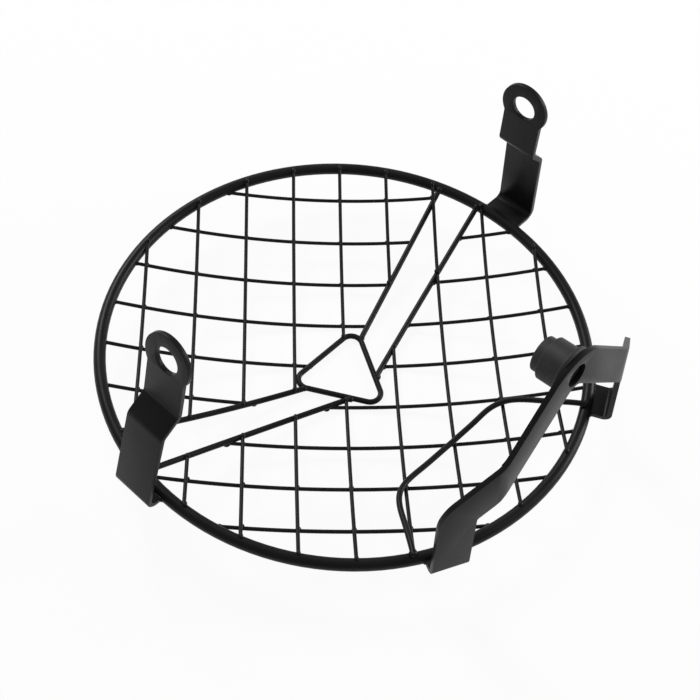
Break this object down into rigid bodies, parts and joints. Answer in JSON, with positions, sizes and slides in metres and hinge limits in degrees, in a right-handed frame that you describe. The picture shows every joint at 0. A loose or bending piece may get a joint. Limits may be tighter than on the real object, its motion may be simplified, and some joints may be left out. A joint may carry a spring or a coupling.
{
  "type": "motorcycle headlight guard",
  "caption": "Round welded steel guard for a motorcycle headlight: ring with a domed wire mesh, side straps with bolt eyes, and a bridge bracket with a rubber boss.",
  "frame": {"origin": "centre of the ring, in the plane of its rod's centreline", "axes": "+Z along the ring's axis, from the mesh dome towards the brackets; +X across, towards the right strap; the bridge bracket is on the -Y side"},
  "size_m": [0.216, 0.1998, 0.0964],
  "materials": {
    "black_coat": "satin black powder coat",
    "black_rubber": "matt black rubber"
  },
  "bodies": {
    "root": {"arch_rod": "black_coat", "boss": "black_rubber", "bridge": "black_coat", "mesh_inner_1": "black_coat", "mesh_inner_2_a": "black_coat", "mesh_inner_2_b": "black_coat", "mesh_inner_3_a": "black_coat", "mesh_inner_3_b": "black_coat", "mesh_inner_4_a": "black_coat", "mesh_inner_4_b": "black_coat", "mesh_inner_5_a": "black_coat", "mesh_inner_5_b": "black_coat", "mesh_inner_6_a": "black_coat", "mesh_inner_6_b": "black_coat", "mesh_inner_7_a": "black_coat", "mesh_inner_7_b": "black_coat", "mesh_inner_8": "black_coat", "mesh_inner_9": "black_coat", "mesh_outer_1": "black_coat", "mesh_outer_2_a": "black_coat", "mesh_outer_2_b": "black_coat", "mesh_outer_3_a": "black_coat", "mesh_outer_3_b": "black_coat", "mesh_outer_4_a": "black_coat", "mesh_outer_4_b": "black_coat", "mesh_outer_5_a": "black_coat", "mesh_outer_5_b": "black_coat", "mesh_outer_6_a": "black_coat", "mesh_outer_6_b": "black_coat", "mesh_outer_7": "black_coat", "mesh_outer_8": "black_coat", "mesh_outer_9": "black_coat", "ring": "black_coat", "slot_rod_left_lower": "black_coat", "slot_rod_left_upper": "black_coat", "slot_rod_right_lower": "black_coat", "slot_rod_right_upper": "black_coat", "strap_left": "black_coat", "strap_right": "black_coat", "triangle": "black_coat"}
  },
  "joints": []
}
